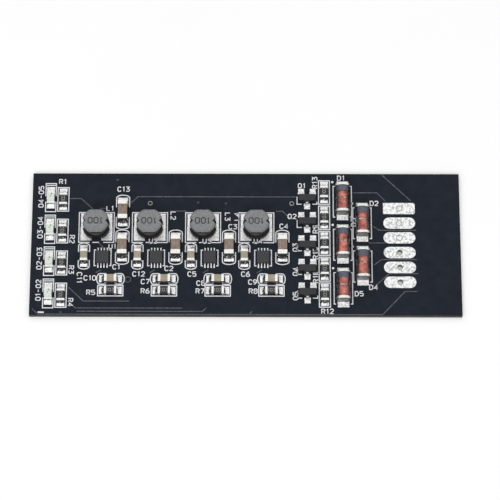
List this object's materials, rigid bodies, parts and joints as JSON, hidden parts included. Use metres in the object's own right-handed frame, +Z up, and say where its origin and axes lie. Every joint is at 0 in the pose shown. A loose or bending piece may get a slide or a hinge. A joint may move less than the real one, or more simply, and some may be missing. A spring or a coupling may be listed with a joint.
{
  "type": "battery balancer",
  "caption": "Bare circuit board that evens out the cells of a battery pack, with drum-core inductors, chips, capacitors, indicator lamps, glass diodes and a row of wire pads.",
  "frame": {"origin": "middle of the board's bottom face", "axes": "+X along the board from the indicator lamps to the wire pads, +Y towards the long edge behind the inductors, +Z up, out of the side that carries the parts"},
  "size_m": [0.07, 0.0244, 0.0044],
  "materials": {
    "board_mask": "black solder mask over glass-fibre laminate, satin",
    "tinned_copper": "tinned copper, levelled and slightly dull",
    "solder": "reflowed solder, bright",
    "ferrite": "dark grey sintered ferrite, ground top",
    "winding_wire": "enamelled copper wire under dark varnish",
    "chip_plastic": "moulded epoxy, matt",
    "storage_ceramic": "brown fired ceramic",
    "filter_ceramic": "tan fired ceramic",
    "terminal_metal": "tin plating, satin",
    "resistor_coat": "black protective coat over white ceramic",
    "lamp_resin": "pale clear resin",
    "transistor_plastic": "moulded epoxy, matt",
    "lead_metal": "tin-plated lead frame",
    "diode_glass": "clear glass with a red cast",
    "stud_metal": "copper-clad studs with red oxide",
    "die_silicon": "bare silicon with a metal face"
  },
  "bodies": {
    "root": {"board": "board_mask", "wire_pads": "tinned_copper", "solder_joints": "solder", "inductor_core_1": "ferrite", "inductor_core_2": "ferrite", "inductor_core_3": "ferrite", "inductor_core_4": "ferrite", "inductor_winding_1": "winding_wire", "inductor_winding_2": "winding_wire", "inductor_winding_3": "winding_wire", "inductor_winding_4": "winding_wire", "balancer_chip_1": "chip_plastic", "balancer_chip_2": "chip_plastic", "balancer_chip_3": "chip_plastic", "balancer_chip_4": "chip_plastic", "storage_capacitor_1": "storage_ceramic", "storage_capacitor_2": "storage_ceramic", "storage_capacitor_3": "storage_ceramic", "storage_capacitor_4": "storage_ceramic", "storage_capacitor_5": "storage_ceramic", "filter_capacitor_1": "filter_ceramic", "filter_capacitor_2": "filter_ceramic", "filter_capacitor_3": "filter_ceramic", "filter_capacitor_4": "filter_ceramic", "filter_capacitor_5": "filter_ceramic", "filter_capacitor_6": "filter_ceramic", "filter_capacitor_7": "filter_ceramic", "filter_capacitor_8": "filter_ceramic", "resistor_1": "resistor_coat", "resistor_2": "resistor_coat", "resistor_3": "resistor_coat", "resistor_4": "resistor_coat", "resistor_5": "resistor_coat", "resistor_6": "resistor_coat", "resistor_7": "resistor_coat", "resistor_8": "resistor_coat", "resistor_9": "resistor_coat", "resistor_10": "resistor_coat", "resistor_11": "resistor_coat", "resistor_12": "resistor_coat", "resistor_13": "resistor_coat", "indicator_lamp_1": "lamp_resin", "indicator_lamp_2": "lamp_resin", "indicator_lamp_3": "lamp_resin", "indicator_lamp_4": "lamp_resin", "chip_terminals": "terminal_metal", "transistor_1": "transistor_plastic", "transistor_2": "transistor_plastic", "transistor_3": "transistor_plastic", "transistor_4": "transistor_plastic", "transistor_5": "transistor_plastic", "transistor_leads": "lead_metal", "diode_glass_1": "diode_glass", "diode_glass_2": "diode_glass", "diode_glass_3": "diode_glass", "diode_glass_4": "diode_glass", "diode_glass_5": "diode_glass", "diode_studs": "stud_metal", "diode_dies": "die_silicon", "diode_end_caps": "terminal_metal"}
  },
  "joints": []
}
